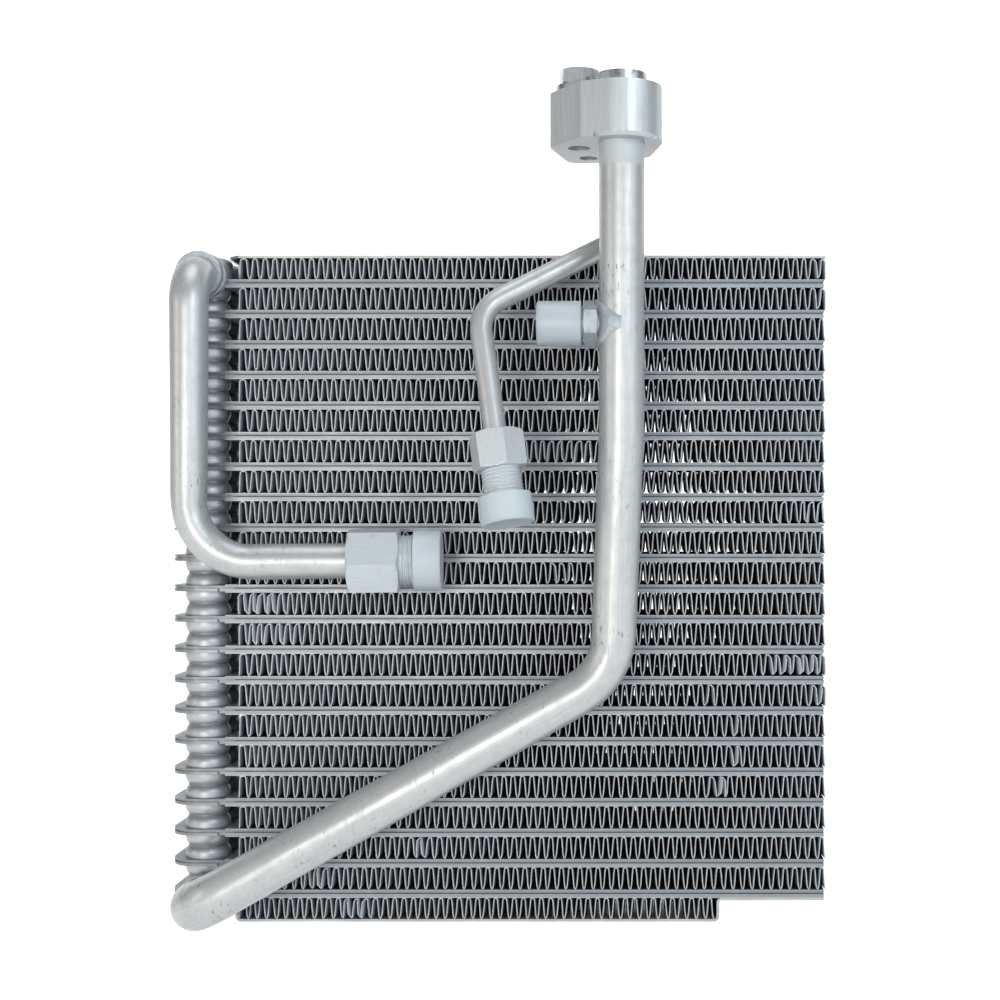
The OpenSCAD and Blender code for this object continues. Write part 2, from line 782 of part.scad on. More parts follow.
// Places its children at the large port's axis
module at_port(z) {
    translate([port_x, port_y, z])
        children();
}

module connector_block() {
    small_r = 1.5;
    rear_r = 4.5;
    right_r = 5.7;
    seat_d = 2;
    color("lightgray")
        difference() {
            at_port(block_z)
                linear_extrude(block_h)
                    band([
                        [[0, 0], block_front_r],
                        [block_right_corner, right_r],
                        [block_rear_right, small_r],
                        [block_rear_left, rear_r],
                        [block_left_corner, small_r],
                        [block_front_left, block_front_r / 2]]);
            // Chamfer under the round front
            at_port(block_z)
                intersection() {
                    rotate_extrude()
                        polygon([[block_front_r + 1, -1], [block_front_r + 1, block_chamfer + 1],
                                 [block_front_r - block_chamfer - 1, -1]]);
                    translate([block_front_left.x, -block_front_r - 1, -1])
                        cube([2 * block_front_r, block_front_r / 2 + 1, block_chamfer + 2]);
                }
            // Large port: socket for the pipe, way through and seat for the joint's ring
            aim(on_outlet(block_z + socket_d), outlet_points[1] - outlet_points[0])
                cylinder(d = outlet_d + 2 * braze_gap, h = 2 * socket_d);
            at_port(block_z)
                cylinder(d = outlet_d - 2 * pipe_wall, h = block_h + eps);
            at_port(block_top - seat_d)
                cylinder(d = outlet_d, h = seat_d + eps);
            // Small port
            at_port(block_z - eps)
                translate(small_port_at) {
                    cylinder(d = liquid_d + 2 * braze_gap, h = socket_d + eps);
                    cylinder(d = liquid_d - 2 * pipe_wall, h = block_h + 2 * eps);
                }
            at_port(block_top - seat_d)
                translate(small_port_at)
                    cylinder(d = liquid_d + seat_d, h = seat_d + eps);
            // Hole for the bolt and free hole for the stud
            at_port(block_z - eps) {
                translate(bolt_at)
                    cylinder(d = bolt_d + 2 * bolt_gap, h = block_h + 2 * eps);
                translate(stud_at)
                    cylinder(d = stud_hole_d, h = block_h + 2 * eps);
            }
        }
}

// The shipping plate rises from the bolt to the port, with a flat seat for the bolt's head
module shipping_plate() {
    port_end_r = 8.8;
    bolt_end_r = 8.3;
    seat_d = bolt_af + 0.4;
    slope_start = bolt_at.x - bolt_end_r / 2;
    top = ship_plate_t + ship_disc_h;
    color("whitesmoke")
        at_port(block_top)
            difference() {
                union() {
                    intersection() {
                        linear_extrude(top)
                            band([[[0, 0], port_end_r], [bolt_at, bolt_end_r]]);
                        rotate([90, 0, 0])
                            linear_extrude(100, center = true)
                                polygon([[-50, 0], [50, 0], [50, top], [-1, top],
                                         [slope_start, ship_plate_t], [-50, ship_plate_t]]);
                    }
                    cylinder(d = ship_disc_d, h = top);
                }
                translate([bolt_at.x, bolt_at.y, ship_plate_t])
                    cylinder(d = seat_d, h = top);
                translate([bolt_at.x, bolt_at.y, -eps])
                    cylinder(d = bolt_d + 2 * bolt_gap, h = top);
            }
}

module shipping_bolt() {
    washer_h = 0.6;
    color("silver")
        at_port(block_top + ship_plate_t)
            translate(bolt_at) {
                cylinder(d = bolt_af - 0.2, h = washer_h);
                translate([0, 0, washer_h])
                    rotate([0, 0, -17])
                        hexagon(bolt_af, bolt_head_h);
                translate([0, 0, -bolt_l])
                    cylinder(d = bolt_d, h = bolt_l + eps);
            }
}

for (i = [1 : tube_count])
    tube(tube_z(i), i > 1, i < tube_count);
for (i = [1 : tube_count + 1])
    fin(i);
top_end_plate();
bottom_end_plate();
end_cup(first_tube_z + rim_t / 2, 1, inlet_x, inlet_z, inlet_collar_r, inlet_spigot_d);  // inlet_end_cup
end_cup(last_tube_z - rim_t / 2, -1, outlet_x, outlet_z, outlet_collar_r, outlet_spigot_d);  // outlet_end_cup
inlet_pipe();
inlet_nut();
inlet_cap();
outlet_pipe();
liquid_pipe();
liquid_nut();
liquid_cap();
port_fitting();
port_cap();
connector_block();
shipping_plate();
shipping_bolt();
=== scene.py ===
import math
import bmesh
import bpy
import numpy as np
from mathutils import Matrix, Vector


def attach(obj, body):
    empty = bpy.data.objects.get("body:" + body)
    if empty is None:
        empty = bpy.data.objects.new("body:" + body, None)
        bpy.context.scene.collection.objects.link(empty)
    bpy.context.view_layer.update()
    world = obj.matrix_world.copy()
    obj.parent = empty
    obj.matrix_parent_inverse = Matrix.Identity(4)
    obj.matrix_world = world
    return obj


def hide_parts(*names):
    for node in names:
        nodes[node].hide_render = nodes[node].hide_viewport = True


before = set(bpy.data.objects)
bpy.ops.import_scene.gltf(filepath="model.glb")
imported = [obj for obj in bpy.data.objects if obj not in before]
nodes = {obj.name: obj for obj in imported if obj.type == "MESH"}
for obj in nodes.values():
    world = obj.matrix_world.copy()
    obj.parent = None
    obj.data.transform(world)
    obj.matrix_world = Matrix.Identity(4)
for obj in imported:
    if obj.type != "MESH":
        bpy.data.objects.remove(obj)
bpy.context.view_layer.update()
scene = bpy.context.scene
mm = 0.001
print("frame loaded:", len(nodes), "nodes")


# Meshes

# A mesh from a grid of points (rows, columns, 3) in mm: neighbours in the grid join as quads, and a
# closed direction joins its last line to its first. The turn of each quad is (row) x (column).
def gridFaces(rows, cols, closeRows, closeCols, offset=0):
    index = np.arange(rows * cols).reshape(rows, cols) + offset
    if closeRows:
        index = np.vstack([index, index[:1]])
    if closeCols:
        index = np.hstack([index, index[:, :1]])
    return np.stack([index[:-1, :-1], index[1:, :-1], index[1:, 1:], index[:-1, 1:]], -1).reshape(-1, 4)


def addMesh(name, points, faces, materials, slots=None, uv=None, smooth=True):
    mesh = bpy.data.meshes.new(name)
    mesh.from_pydata((points.reshape(-1, 3) * mm).tolist(), [], faces.tolist())
    if slots is not None:
        mesh.polygons.foreach_set("material_index", slots.astype(np.int32))
    if uv is not None:
        layer = mesh.uv_layers.new(name="UVMap")
        corners = np.zeros(len(mesh.loops), np.int32)
        mesh.loops.foreach_get("vertex_index", corners)
        layer.data.foreach_set("uv", uv.reshape(-1, 2)[corners].astype(np.float32).ravel())
    mesh.polygons.foreach_set("use_smooth", np.full(len(mesh.polygons), smooth))
    mesh.update()
    piece = bpy.data.objects.new(name, mesh)
    scene.collection.objects.link(piece)
    for material in materials:
        mesh.materials.append(material)
    return piece


def finishPiece(piece, slot, *replaced):
    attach(piece, "root")
    if replaced:
        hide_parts(*replaced)
    return piece


# Materials

def newMaterial(name):
    material = bpy.data.materials.new(name)
    material.use_nodes = True
    tree = material.node_tree
    return material, tree, tree.nodes["Principled BSDF"]


def addNode(tree, kind, values=None, **settings):
    item = tree.nodes.new(kind)
    for key, value in settings.items():
        setattr(item, key, value)
    for key, value in (values or {}).items():
        item.inputs[key].default_value = value
    return item


# Coordinates stretched by a scale: object places in metres, or the piece's own map along a pipe
def stretched(tree, scale, source="Object"):
    place = addNode(tree, "ShaderNodeTexCoord")
    mapping = addNode(tree, "ShaderNodeMapping", {"Scale": scale})
    tree.links.new(place.outputs[source], mapping.inputs["Vector"])
    return mapping.outputs["Vector"]


def noiseOn(tree, scale, size, detail=4.0, source="Object"):
    noise = addNode(tree, "ShaderNodeTexNoise", {"Scale": size, "Detail": detail, "Roughness": 0.6})
    tree.links.new(stretched(tree, scale, source), noise.inputs["Vector"])
    return noise.outputs["Fac"]


def ramp(tree, source, low, high, first, second):
    item = addNode(tree, "ShaderNodeMapRange", {"From Min": low, "From Max": high,
                                               "To Min": first, "To Max": second})
    tree.links.new(source, item.inputs["Value"])
    return item.outputs["Result"]


def mixColour(tree, factor, first, second):
    item = addNode(tree, "ShaderNodeMix", data_type="RGBA")
    for key, value in (("A", first), ("B", second)):
        socket = [s for s in item.inputs if s.name == key and s.type == "RGBA"][0]
        if isinstance(value, tuple):
            socket.default_value = value + (1.0,)
        else:
            tree.links.new(value, socket)
    tree.links.new(factor, item.inputs["Factor"])
    return [s for s in item.outputs if s.type == "RGBA"][0]


def bumpFrom(tree, shader, height, strength, distance):
    item = addNode(tree, "ShaderNodeBump", {"Strength": strength, "Distance": distance})
    tree.links.new(height, item.inputs["Height"])
    tree.links.new(item.outputs["Normal"], shader.inputs["Normal"])


# A worked metal: two tones mixed by a stretched grain, darker stains by a slow noise, and a
# roughness and bump from the same grain
def workedMetal(name, light, dark, stain, metallic, rough, grain, stainSize, stainCut, bump):
    material, tree, shader = newMaterial(name)
    streaks = noiseOn(tree, grain, 1.0, 5.0)
    stains = noiseOn(tree, (1, 1, 1), stainSize, 3.0)
    tone = mixColour(tree, ramp(tree, streaks, 0.3, 0.7, 0, 1), dark, light)
    marked = mixColour(tree, ramp(tree, stains, stainCut, stainCut + 0.16, 0, 0.8), tone, stain)
    tree.links.new(marked, shader.inputs["Base Color"])
    tree.links.new(ramp(tree, streaks, 0.25, 0.75, rough + 0.08, rough - 0.06), shader.inputs["Roughness"])
    shader.inputs["Metallic"].default_value = metallic
    bumpFrom(tree, shader, streaks, bump, 0.00004)
    return material


# Colours that change along a value from 0 to 1: stops of place and colour
def bands(tree, source, stops):
    item = addNode(tree, "ShaderNodeValToRGB")
    table = item.color_ramp.elements
    while len(table) < len(stops):
        table.new(0.5)
    for element, (place, colour) in zip(table, stops):
        element.position = place
        element.color = colour + (1.0,)
    tree.links.new(source, item.inputs["Fac"])
    return item.outputs["Color"]


def axisOf(tree, axis):
    place = addNode(tree, "ShaderNodeTexCoord")
    split = addNode(tree, "ShaderNodeSeparateXYZ")
    tree.links.new(place.outputs["Object"], split.inputs["Vector"])
    return split.outputs[axis]


def calc(tree, operation, first, *numbers):
    item = addNode(tree, "ShaderNodeMath", operation=operation)
    tree.links.new(first, item.inputs[0])
    for index, number in enumerate(numbers):
        if isinstance(number, (int, float)):
            item.inputs[index + 1].default_value = number
        else:
            tree.links.new(number, item.inputs[index + 1])
    return item.outputs[0]


# Share of openness to the light: 1 at the front and back edges and left of the fins, 0 inside the core
def openness(tree):
    away = calc(tree, "ABSOLUTE", axisOf(tree, "Y"))
    nearEdge = ramp(tree, away, 17.9 * mm, 18.7 * mm, 0, 1)
    atTank = ramp(tree, axisOf(tree, "X"), -110.5 * mm, -112.5 * mm, 0, 1)
    return calc(tree, "MAXIMUM", nearEdge, atTank)


tubePitch = 11.5
firstTubeZ = 10.6           # middle of the lowest tube
# Height over the middle of a tube in mm, and the plate's colour there. The colours hold painted highlights
# along the tube's upper and lower edges and on the lower half of its face, painted shade along its seam,
# and painted shade on the cups that deepens to near black at the joints between them
plateBands = [(-5.75, (0.03, 0.03, 0.035)), (-5.5, (0.34, 0.36, 0.38)), (-3.6, (0.50, 0.52, 0.54)),
              (-1.5, (0.52, 0.54, 0.56)), (-1.42, (0.37, 0.40, 0.43)), (-1.2, (0.25, 0.275, 0.30)),
              (-0.15, (0.24, 0.265, 0.29)), (0.0, (0.19, 0.205, 0.225)), (0.42, (0.19, 0.205, 0.225)),
              (0.58, (0.20, 0.215, 0.235)), (1.2, (0.20, 0.215, 0.235)), (1.4, (0.35, 0.37, 0.38)),
              (1.7, (0.50, 0.52, 0.54)), (3.6, (0.44, 0.46, 0.48)), (5.5, (0.28, 0.29, 0.31)),
              (5.75, (0.03, 0.03, 0.035))]


# Pressed plates: colour by the height over the middle of the nearest tube (painted highlights on the edge
# lips, painted shade on the seam, and painted shade on the cups that deepens towards their joints), a
# rolled grain, and painted shade between the fins
def plateMaterial():
    material, tree, shader = newMaterial("plateAluminium")
    turns = calc(tree, "MULTIPLY_ADD", axisOf(tree, "Z"), 1 / (tubePitch * mm), -firstTubeZ / tubePitch)
    height = calc(tree, "ADD", calc(tree, "WRAP", turns, 0.5, -0.5), 0.5)
    # painted highlights and painted shade from the height bands
    banded = bands(tree, height, [(place / tubePitch + 0.5, colour) for place, colour in plateBands])
    atLip = calc(tree, "MULTIPLY", calc(tree, "COMPARE", height, 0.5, 1.2 / tubePitch),
                 ramp(tree, axisOf(tree, "X"), -124.5 * mm, -127.5 * mm, 0, 1))
    tone = mixColour(tree, atLip, banded, (0.25, 0.26, 0.27))
    grain = noiseOn(tree, (60, 60, 900), 1.0, 5.0)
    blotch = noiseOn(tree, (1, 1, 1), 150, 4.0)
    worn = mixColour(tree, ramp(tree, grain, 0.35, 0.7, 0, 0.3), tone, (0.19, 0.20, 0.215))
    bright = mixColour(tree, ramp(tree, blotch, 0.58, 0.72, 0, 0.35), worn, (0.35, 0.36, 0.37))
    lit = openness(tree)
    # painted shade: the plates turn dark navy inside the core, away from its open front, back and tank
    # edges
    shaded = mixColour(tree, lit, (0.018, 0.024, 0.042), bright)
    tree.links.new(shaded, shader.inputs["Base Color"])
    tree.links.new(ramp(tree, lit, 0, 1, 0.05, 0.5), shader.inputs["Metallic"])
    rough = calc(tree, "ADD", ramp(tree, lit, 0, 1, 0.85, 0.36), ramp(tree, grain, 0.3, 0.7, 0, 0.12))
    tree.links.new(rough, shader.inputs["Roughness"])
    bumpFrom(tree, shader, grain, 0.3, 0.00004)
    return material


# Drawn tube: fine lines along the run, a faint mottling, small dark scuffs and a lighter, matte brazed
# zone at its top end
def pipeMaterial():
    material, tree, shader = newMaterial("drawnPipe")
    lines = noiseOn(tree, (40, 0.35, 1), 3.0, 4.0, "UV")
    mottle = noiseOn(tree, (1, 1, 1), 210, 5.0)
    scuff = noiseOn(tree, (1, 1, 0.35), 760, 6.0)
    zone = noiseOn(tree, (1, 1, 1), 38, 2.0)
    base = mixColour(tree, ramp(tree, lines, 0.3, 0.7, 0, 1), (0.43, 0.445, 0.45),
                     (0.56, 0.565, 0.56))
    clouded = mixColour(tree, ramp(tree, mottle, 0.42, 0.7, 0, 0.5), base, (0.39, 0.405, 0.415))
    marks = calc(tree, "MULTIPLY", ramp(tree, scuff, 0.58, 0.66, 0, 1),
                 ramp(tree, zone, 0.48, 0.62, 0.1, 1))
    scuffed = mixColour(tree, marks, clouded, (0.22, 0.22, 0.22))
    brazed = ramp(tree, axisOf(tree, "Z"), 275.6 * mm, 276.2 * mm, 0, 1)
    tree.links.new(mixColour(tree, brazed, scuffed, (0.50, 0.53, 0.55)), shader.inputs["Base Color"])
    tree.links.new(ramp(tree, brazed, 0, 1, 0.52, 0.35), shader.inputs["Metallic"])
    worn = calc(tree, "MULTIPLY", calc(tree, "MAXIMUM", marks, brazed), 0.2)
    rough = calc(tree, "ADD", ramp(tree, mottle, 0.3, 0.7, 0.35, 0.43), worn)
    tree.links.new(rough, shader.inputs["Roughness"])
    bumpFrom(tree, shader, calc(tree, "ADD", lines, mottle), 0.16, 0.00004)
    return material


endSheetAluminium = workedMetal("endSheetAluminium", (0.46, 0.47, 0.47), (0.30, 0.30, 0.30),
                                (0.2, 0.19, 0.18), 0.6, 0.38, (40, 300, 300), 110, 0.6, 0.3)
bossAluminium = workedMetal("bossAluminium", (0.42, 0.46, 0.49), (0.30, 0.33, 0.35),
                            (0.55, 0.57, 0.58), 0.5, 0.5, (300, 300, 300), 140, 0.6, 0.5)
brushedUpright = workedMetal("brushedUpright", (0.62, 0.66, 0.69), (0.54, 0.575, 0.60),
                             (0.49, 0.51, 0.52), 0.32, 0.34, (1900, 1900, 30), 160, 0.66, 0.12)
brushedAcross = workedMetal("brushedAcross", (0.60, 0.65, 0.68), (0.53, 0.57, 0.60),
                            (0.47, 0.47, 0.45), 0.32, 0.36, (30, 1900, 1900), 160, 0.6, 0.12)
blockAluminium = workedMetal("blockAluminium", (0.54, 0.57, 0.59), (0.45, 0.47, 0.48),
                             (0.42, 0.39, 0.33), 0.6, 0.40, (900, 900, 60), 70, 0.6, 0.12)
zincPlating = workedMetal("zincPlating", (0.56, 0.60, 0.64), (0.34, 0.37, 0.40),
                          (0.12, 0.13, 0.15), 0.9, 0.24, (1600, 1600, 120), 260, 0.52, 0.5)
boltPlating = workedMetal("boltPlating", (0.68, 0.72, 0.76), (0.46, 0.49, 0.52),
                          (0.20, 0.21, 0.23), 0.8, 0.30, (1600, 1600, 120), 260, 0.56, 0.4)
plateAluminium = plateMaterial()
drawnPipe = pipeMaterial()


# Fin sheet: painted light near the edges of the core and painted shade inside it, with its louvres as fine
# ridges across the depth
def finSheetMaterial():
    material, tree, shader = newMaterial("finSheet")
    cloud = noiseOn(tree, (1, 1, 1), 220, 3.0)
    sheet = mixColour(tree, cloud, (0.60, 0.62, 0.64), (0.72, 0.74, 0.76))
    away = calc(tree, "ABSOLUTE", axisOf(tree, "Y"))
    # painted shade: the sheet's colour falls to dark navy with depth into the core and is painted pale
    # near its front and back edges
    lit = bands(tree, ramp(tree, away, 0, 18.7 * mm, 0, 1),
                [(0, (0.035, 0.045, 0.085)), (0.45, (0.05, 0.065, 0.11)), (0.75, (0.19, 0.22, 0.28)),
                 (1, (0.75, 0.8, 0.86))])
    shade = addNode(tree, "ShaderNodeMix", data_type="RGBA", blend_type="MULTIPLY")
    colours = [socket for socket in shade.inputs if socket.type == "RGBA"]
    result = [socket for socket in shade.outputs if socket.type == "RGBA"][0]
    shade.inputs["Factor"].default_value = 1.0
    tree.links.new(sheet, colours[0])
    tree.links.new(lit, colours[1])
    tree.links.new(result, shader.inputs["Base Color"])
    shader.inputs["Metallic"].default_value = 0.2
    shader.inputs["Roughness"].default_value = 0.5
    louvres = addNode(tree, "ShaderNodeTexWave", {"Scale": 130.0, "Distortion": 0.0}, wave_type="BANDS",
                      bands_direction="Y", wave_profile="SAW")
    tree.links.new(stretched(tree, (1, 1, 1)), louvres.inputs["Vector"])
    bumpFrom(tree, shader, louvres.outputs["Fac"], 0.5, 0.0004)
    return material


# Cut edge of the fin sheet: the bright line that the camera sees
def finEdgeMaterial():
    material, tree, shader = newMaterial("finEdge")
    cloud = noiseOn(tree, (1, 1, 1), 420, 4.0)
    edge = mixColour(tree, ramp(tree, cloud, 0.3, 0.7, 0, 1), (0.36, 0.355, 0.355), (0.55, 0.545, 0.54))
    tree.links.new(edge, shader.inputs["Base Color"])
    shader.inputs["Metallic"].default_value = 0.3
    shader.inputs["Roughness"].default_value = 0.5
    return material


# Milky plastic of the shipping caps: light passes into it, and a thin haze varies its colour
def milkyCapMaterial(name, clear, thin, thick):
    material, tree, shader = newMaterial(name)
    haze = noiseOn(tree, (1, 1, 1), 90, 3.0)
    tree.links.new(mixColour(tree, haze, thin, thick), shader.inputs["Base Color"])
    tree.links.new(ramp(tree, haze, 0.3, 0.7, 0.34, 0.46), shader.inputs["Roughness"])
    shader.inputs["Transmission Weight"].default_value = clear
    shader.inputs["IOR"].default_value = 1.45
    shader.inputs["Subsurface Weight"].default_value = 0.2
    shader.inputs["Subsurface Radius"].default_value = (0.004, 0.004, 0.004)
    grain = noiseOn(tree, (1, 1, 1), 900, 2.0)
    bumpFrom(tree, shader, grain, 0.08, 0.0001)
    return material


finSheet = finSheetMaterial()
finEdge = finEdgeMaterial()
milkyCap = milkyCapMaterial("milkyCap", 0.30, (0.66, 0.735, 0.775), (0.74, 0.80, 0.83))
clearCap = milkyCapMaterial("clearCap", 0.48, (0.66, 0.74, 0.78), (0.78, 0.84, 0.87))
print("materials made")

# Fin strips

fins = {
    "tubes": 21, "tubePitch": tubePitch, "tubeThick": 3.0, "sheetThick": 1.0, "endHeight": 8.1,
    "left": -110.75, "width": 221.5, "waves": 63, "shortWaves": 51, "halfDepth": 18.7,
    "thick": 0.34,          # thickness that the cut edge shows
    # Half a wave from a lower crest to an upper one: shares of it, and heights over the lower crest
    # or, where negative, under the upper one
    "shares": [0, 0.17, 0.32, 0.57, 0.65, 0.82],
    "climb": [0, 0.42, 1.5, -1.3, -0.45, -0.06],
    "crest": 0.7,          # extra thickness inside the crests, as a share
    "jitter": 0.1,         # sideways scatter of the crests
    "stations": [-1, -0.93, -0.45, 0.45, 1],          # shares of half the depth
    "bow": [0, 0.1, 1, -0.7, 0],                      # sway of a leg at those stations
    "dent": [1, 0.25, 0, 0, 0],                       # reach of the damage at those stations
    "swell": [1, 1.2, 5, 5, 1],                       # thickening of the legs by their open louvres
    "flap": 0.75,           # share of a last half wave at the right-hand end
    "tailReach": 3.6, "tailDrop": 2.6,
}
# Damage: strip, centre x, half width, push along x at the front, how much the crests are flattened
bentFins = [
    (12, -102, 9, -1.7, 0.15), (13, -98, 12, -0.9, 0.1), (9, 92.5, 3.2, -1.1, 0.1),
    (9, 106, 4.5, -1.3, 0.1), (14, 100, 12, 1.7, 0.4), (15, 66, 2.5, 1.3, 0.1),
    (15, 108, 3, 1.9, 0.3), (16, 76, 2.5, 1.3, 0.1), (17, 77, 3, 1.4, 0.2),
    (18, 70, 3.5, 2.0, 0.3), (21, -80, 5, -1.2, 0.2), (22, -66, 6, -1.2, 0.2),
    (20, -42, 4, -1.2, 0.25), (7, 13, 14, -1.0, 0.15), (11, 10, 6, 1.1, 0.2),
    (1, 109, 3, 1.2, 0.3), (2, 109, 3, 1.2, 0.2),
]


# One strip: crests rounded by short arcs and joined by leaning legs; each place is pushed sideways by
# its row's drift, a small scatter and a sway inside the depth, and at the front by the damage
def finStrip(number):
    first, last = number == 1, number == fins["tubes"] + 1
    waves = fins["shortWaves"] if last else fins["waves"]
    height = fins["endHeight"] if first or last else fins["tubePitch"] - fins["tubeThick"]
    lastTube = fins["sheetThick"] + fins["endHeight"] + fins["tubeThick"] / 2
    tubeZ = lastTube + (fins["tubes"] - number) * fins["tubePitch"]
    low = fins["sheetThick"] if last else tubeZ + fins["tubeThick"] / 2
    pitch = fins["width"] / fins["waves"]
    stations = np.array(fins["stations"])
    layers = len(stations)
    draw = np.random.default_rng(700 + number)

    rise = height - fins["thick"]
    shares, climb = np.array(fins["shares"]), np.array(fins["climb"])
    climb = np.where(climb < 0, rise + climb, climb)
    climb[0] = 0
    fallShares, fallClimb = 1 - np.roll(shares[::-1], 1), np.roll(climb[::-1], 1)
    fallShares[0], fallClimb[0] = 0, rise
    legs = 2 * waves - 1
    rising = (np.arange(legs) % 2 == 0)[:, None]
    place = (np.arange(legs)[:, None] + np.where(rising, shares, fallShares)).ravel()
    z = np.where(rising, climb, fallClimb).ravel()
    place = np.concatenate([place, legs + fallShares * fins["flap"], [legs + fins["flap"]]])
    z = np.concatenate([z, fallClimb, [0]])
    crests = np.arange(legs + 1)
    scatter = np.interp(place, crests, draw.normal(0, fins["jitter"], legs + 1).clip(-0.4, 0.4))
    inside = np.clip(np.minimum(place, legs - place) / 6, 0, 1)
    drift = draw.uniform(-0.8, 0.8) + 0.5 * np.sin(place / draw.uniform(9, 15) + draw.uniform(0, 6))
    run = np.interp(place, [0, 0.6, 1, legs + 1], [0, 0.15, 1, legs + 1])     # a steep first leg
    x = fins["left"] + 0.3 + run * pitch / 2 + inside * (scatter + drift)
    lean = np.interp(place, crests, draw.normal(0, 0.07, legs + 1).clip(-0.2, 0.2))
    sway = np.interp(place, crests, draw.normal(0, 0.24, legs + 1).clip(-0.45, 0.45))
    y = stations * fins["halfDepth"]

    px = x[:, None] + lean[:, None] * stations + sway[:, None] * np.array(fins["bow"])
    pz = np.repeat(z[:, None], layers, 1)
    for strip, centre, half, push, flat in bentFins:
        if strip == number:
            near = np.exp(-((x - centre) / half) ** 4)
            bulge = np.sin(np.pi * z / rise) * (1 + 0.5 * np.sin(place * 2.1 + strip))
            px = px + (near * bulge * push)[:, None] * np.array(fins["dent"])
            pz = pz + (near * flat * (rise / 2 - z) * 0.4)[:, None] * np.array(fins["dent"])
    if first:               # the free end of the first strip is splayed outwards
        tail = np.array([[-fins["tailReach"], rise - 0.3], [-0.1, rise - fins["tailDrop"]]])
        px = np.vstack([np.repeat(fins["left"] + 0.3 + tail[:, :1], layers, 1), px])
        pz = np.vstack([np.repeat(tail[:, 1:], layers, 1), pz])
    px = np.clip(px, fins["left"] - fins["tailReach"], fins["left"] + fins["width"] - 0.2)

    # The wall stands half its thickness to each side of that line
    dx, dz = np.gradient(px, axis=0), np.gradient(pz, axis=0)
    length = np.hypot(dx, dz)
    nx, nz = -dz / length, dx / length
    half = fins["thick"] / 2
    py = np.repeat(y[None, :], len(px), 0)
    aside = nx * half * np.array(fins["swell"])
    atFoot = 1 + fins["crest"] * np.clip(1 - pz / rise * 10, 0, 1)
    atTop = 1 + fins["crest"] * np.clip(pz / rise * 10 - 9, 0, 1)
    over = np.stack([px + aside, py, pz + nz * half * atFoot], -1)
    under = np.stack([px - aside, py, pz - nz * half * atTop], -1)
    ring = np.concatenate([over, under[:, ::-1]], 1) + np.array([0, 0, low + half])
    ring[..., 0] = np.minimum(ring[..., 0], fins["left"] + fins["width"])
    around = 2 * layers
    faces = gridFaces(len(px), around, False, True)
    oneRing = np.zeros(around)
    oneRing[[layers - 1, around - 1]] = 1
    step = np.arange(layers - 1)
    ends = np.stack([step, step + 1, around - 2 - step, around - 1 - step], 1)
    faces = np.vstack([faces[:, ::-1], ends, ends[:, ::-1] + (len(px) - 1) * around])
    slots = np.append(np.tile(oneRing, len(px) - 1), np.ones(2 * len(ends)))
    piece = addMesh("finStrip%02d" % number, ring, faces, [finSheet, finEdge], slots, smooth=False)
    return finishPiece(piece, "fin", "fin_%02d" % number)


for number in range(1, fins["tubes"] + 2):
    finStrip(number)
print("fin strips made")

# Pipes

collarFace = -26.0
socket = 5.0
pipes = {
    "inletPipe": {
        "node": "inlet_pipe",
        "corners": [(-124.0, collarFace + socket, 242.7), (-124.0, -38.15, 242.7), (-124.0, -38.15, 136.1),
                    (-34.9, -32.51, 136.78)],
        "bends": [0, 12, 23, 0],
        "radii": [(7, 7), (7, 6.55), (6.55, 6.35)],
        "spigot": 6.0,
        "flat": 0.05,       # how much a bend flattens the section
        "wrinkle": 0.05,
    },
    "outletPipe": {
        "node": "outlet_pipe",
        "corners": [(34.4, -60.35, 289.3), (34.37, -56.85, 185.3), (30.85, -48.85, 96.5),
                    (-123.0, -44.85, 9.7), (-123.0, collarFace + socket, 9.7)],
        "bends": [0, 150, 25, 13.5, 0],
        "radii": [(8, 8), (8, 8), (8, 8.8), (8.8, 8.8)],
        "spigot": 6.5,
        "flat": 0.035,
        "wrinkle": 0.06,
    },
    "liquidPipe": {
        "node": "liquid_pipe",
        "corners": [(34.0, -38.85, 289.3), (34.0, -38.85, 254.3), (-16.4, -56.85, 226),
                    (-4.99, -70.38, 152.9)],
        "bends": [0, 13, 13, 0],
        "radii": [(4, 4), (4, 4), (4, 4)],
        "spigot": 0,
        "flat": 0.05,
        "wrinkle": 0.03,
    },
}
pipeWall = 1.2


def unit(vector):
    return vector / np.linalg.norm(vector, axis=-1, keepdims=True)


# The line of a pipe: straight runs joined by arcs that touch both; it also gives the way to each
# bend's centre, and where each straight run starts and ends along the line
def pipeLine(corners, bends, step=1.0):
    corners = np.array(corners, float)
    parts, inward, runs, travelled = [], [], [], 0.0
    start = corners[0]
    for i in range(1, len(corners)):
        along = unit(corners[i] - corners[i - 1])
        if i < len(corners) - 1:
            onward = unit(corners[i + 1] - corners[i])
            angle = math.acos(float(along @ onward))
            setBack = bends[i] * math.tan(angle / 2)
        else:
            angle, setBack = 0.0, 0.0
        stop = corners[i] - along * setBack
        length = float(np.linalg.norm(stop - start))
        count = max(2, round(length / step))
        share = np.linspace(0, 1, count, endpoint=i == len(corners) - 1)[:, None]
        parts.append(start + (stop - start) * share)
        inward.append(np.zeros((count, 3)))
        runs.append((travelled, travelled + length))
        travelled += length
        if angle:
            side = unit(onward - along * float(along @ onward))
            count = max(8, round(bends[i] * angle / step))
            t = np.linspace(0, angle, count, endpoint=False)[:, None]
            parts.append(stop + bends[i] * (np.sin(t) * along + (1 - np.cos(t)) * side))
            inward.append((np.cos(t) * side - np.sin(t) * along) * min(1.0, 30 / bends[i]))
            travelled += bends[i] * angle
            start = corners[i] + onward * setBack
    return np.vstack(parts), np.vstack(inward), runs


# Distance from the nearer end of a line, for effects that stay out of the joints
def fullLength(s):
    return np.minimum(s, s[-1] - s)


# Faces turned so that the closed surface holds a positive volume
def turnOut(points, faces):
    corners = points.reshape(-1, 3)[faces]
    first = np.einsum("ij,ij->i", corners[:, 0], np.cross(corners[:, 1], corners[:, 2]))
    second = np.einsum("ij,ij->i", corners[:, 0], np.cross(corners[:, 2], corners[:, 3]))
    return faces if (first + second).sum() > 0 else faces[:, ::-1]


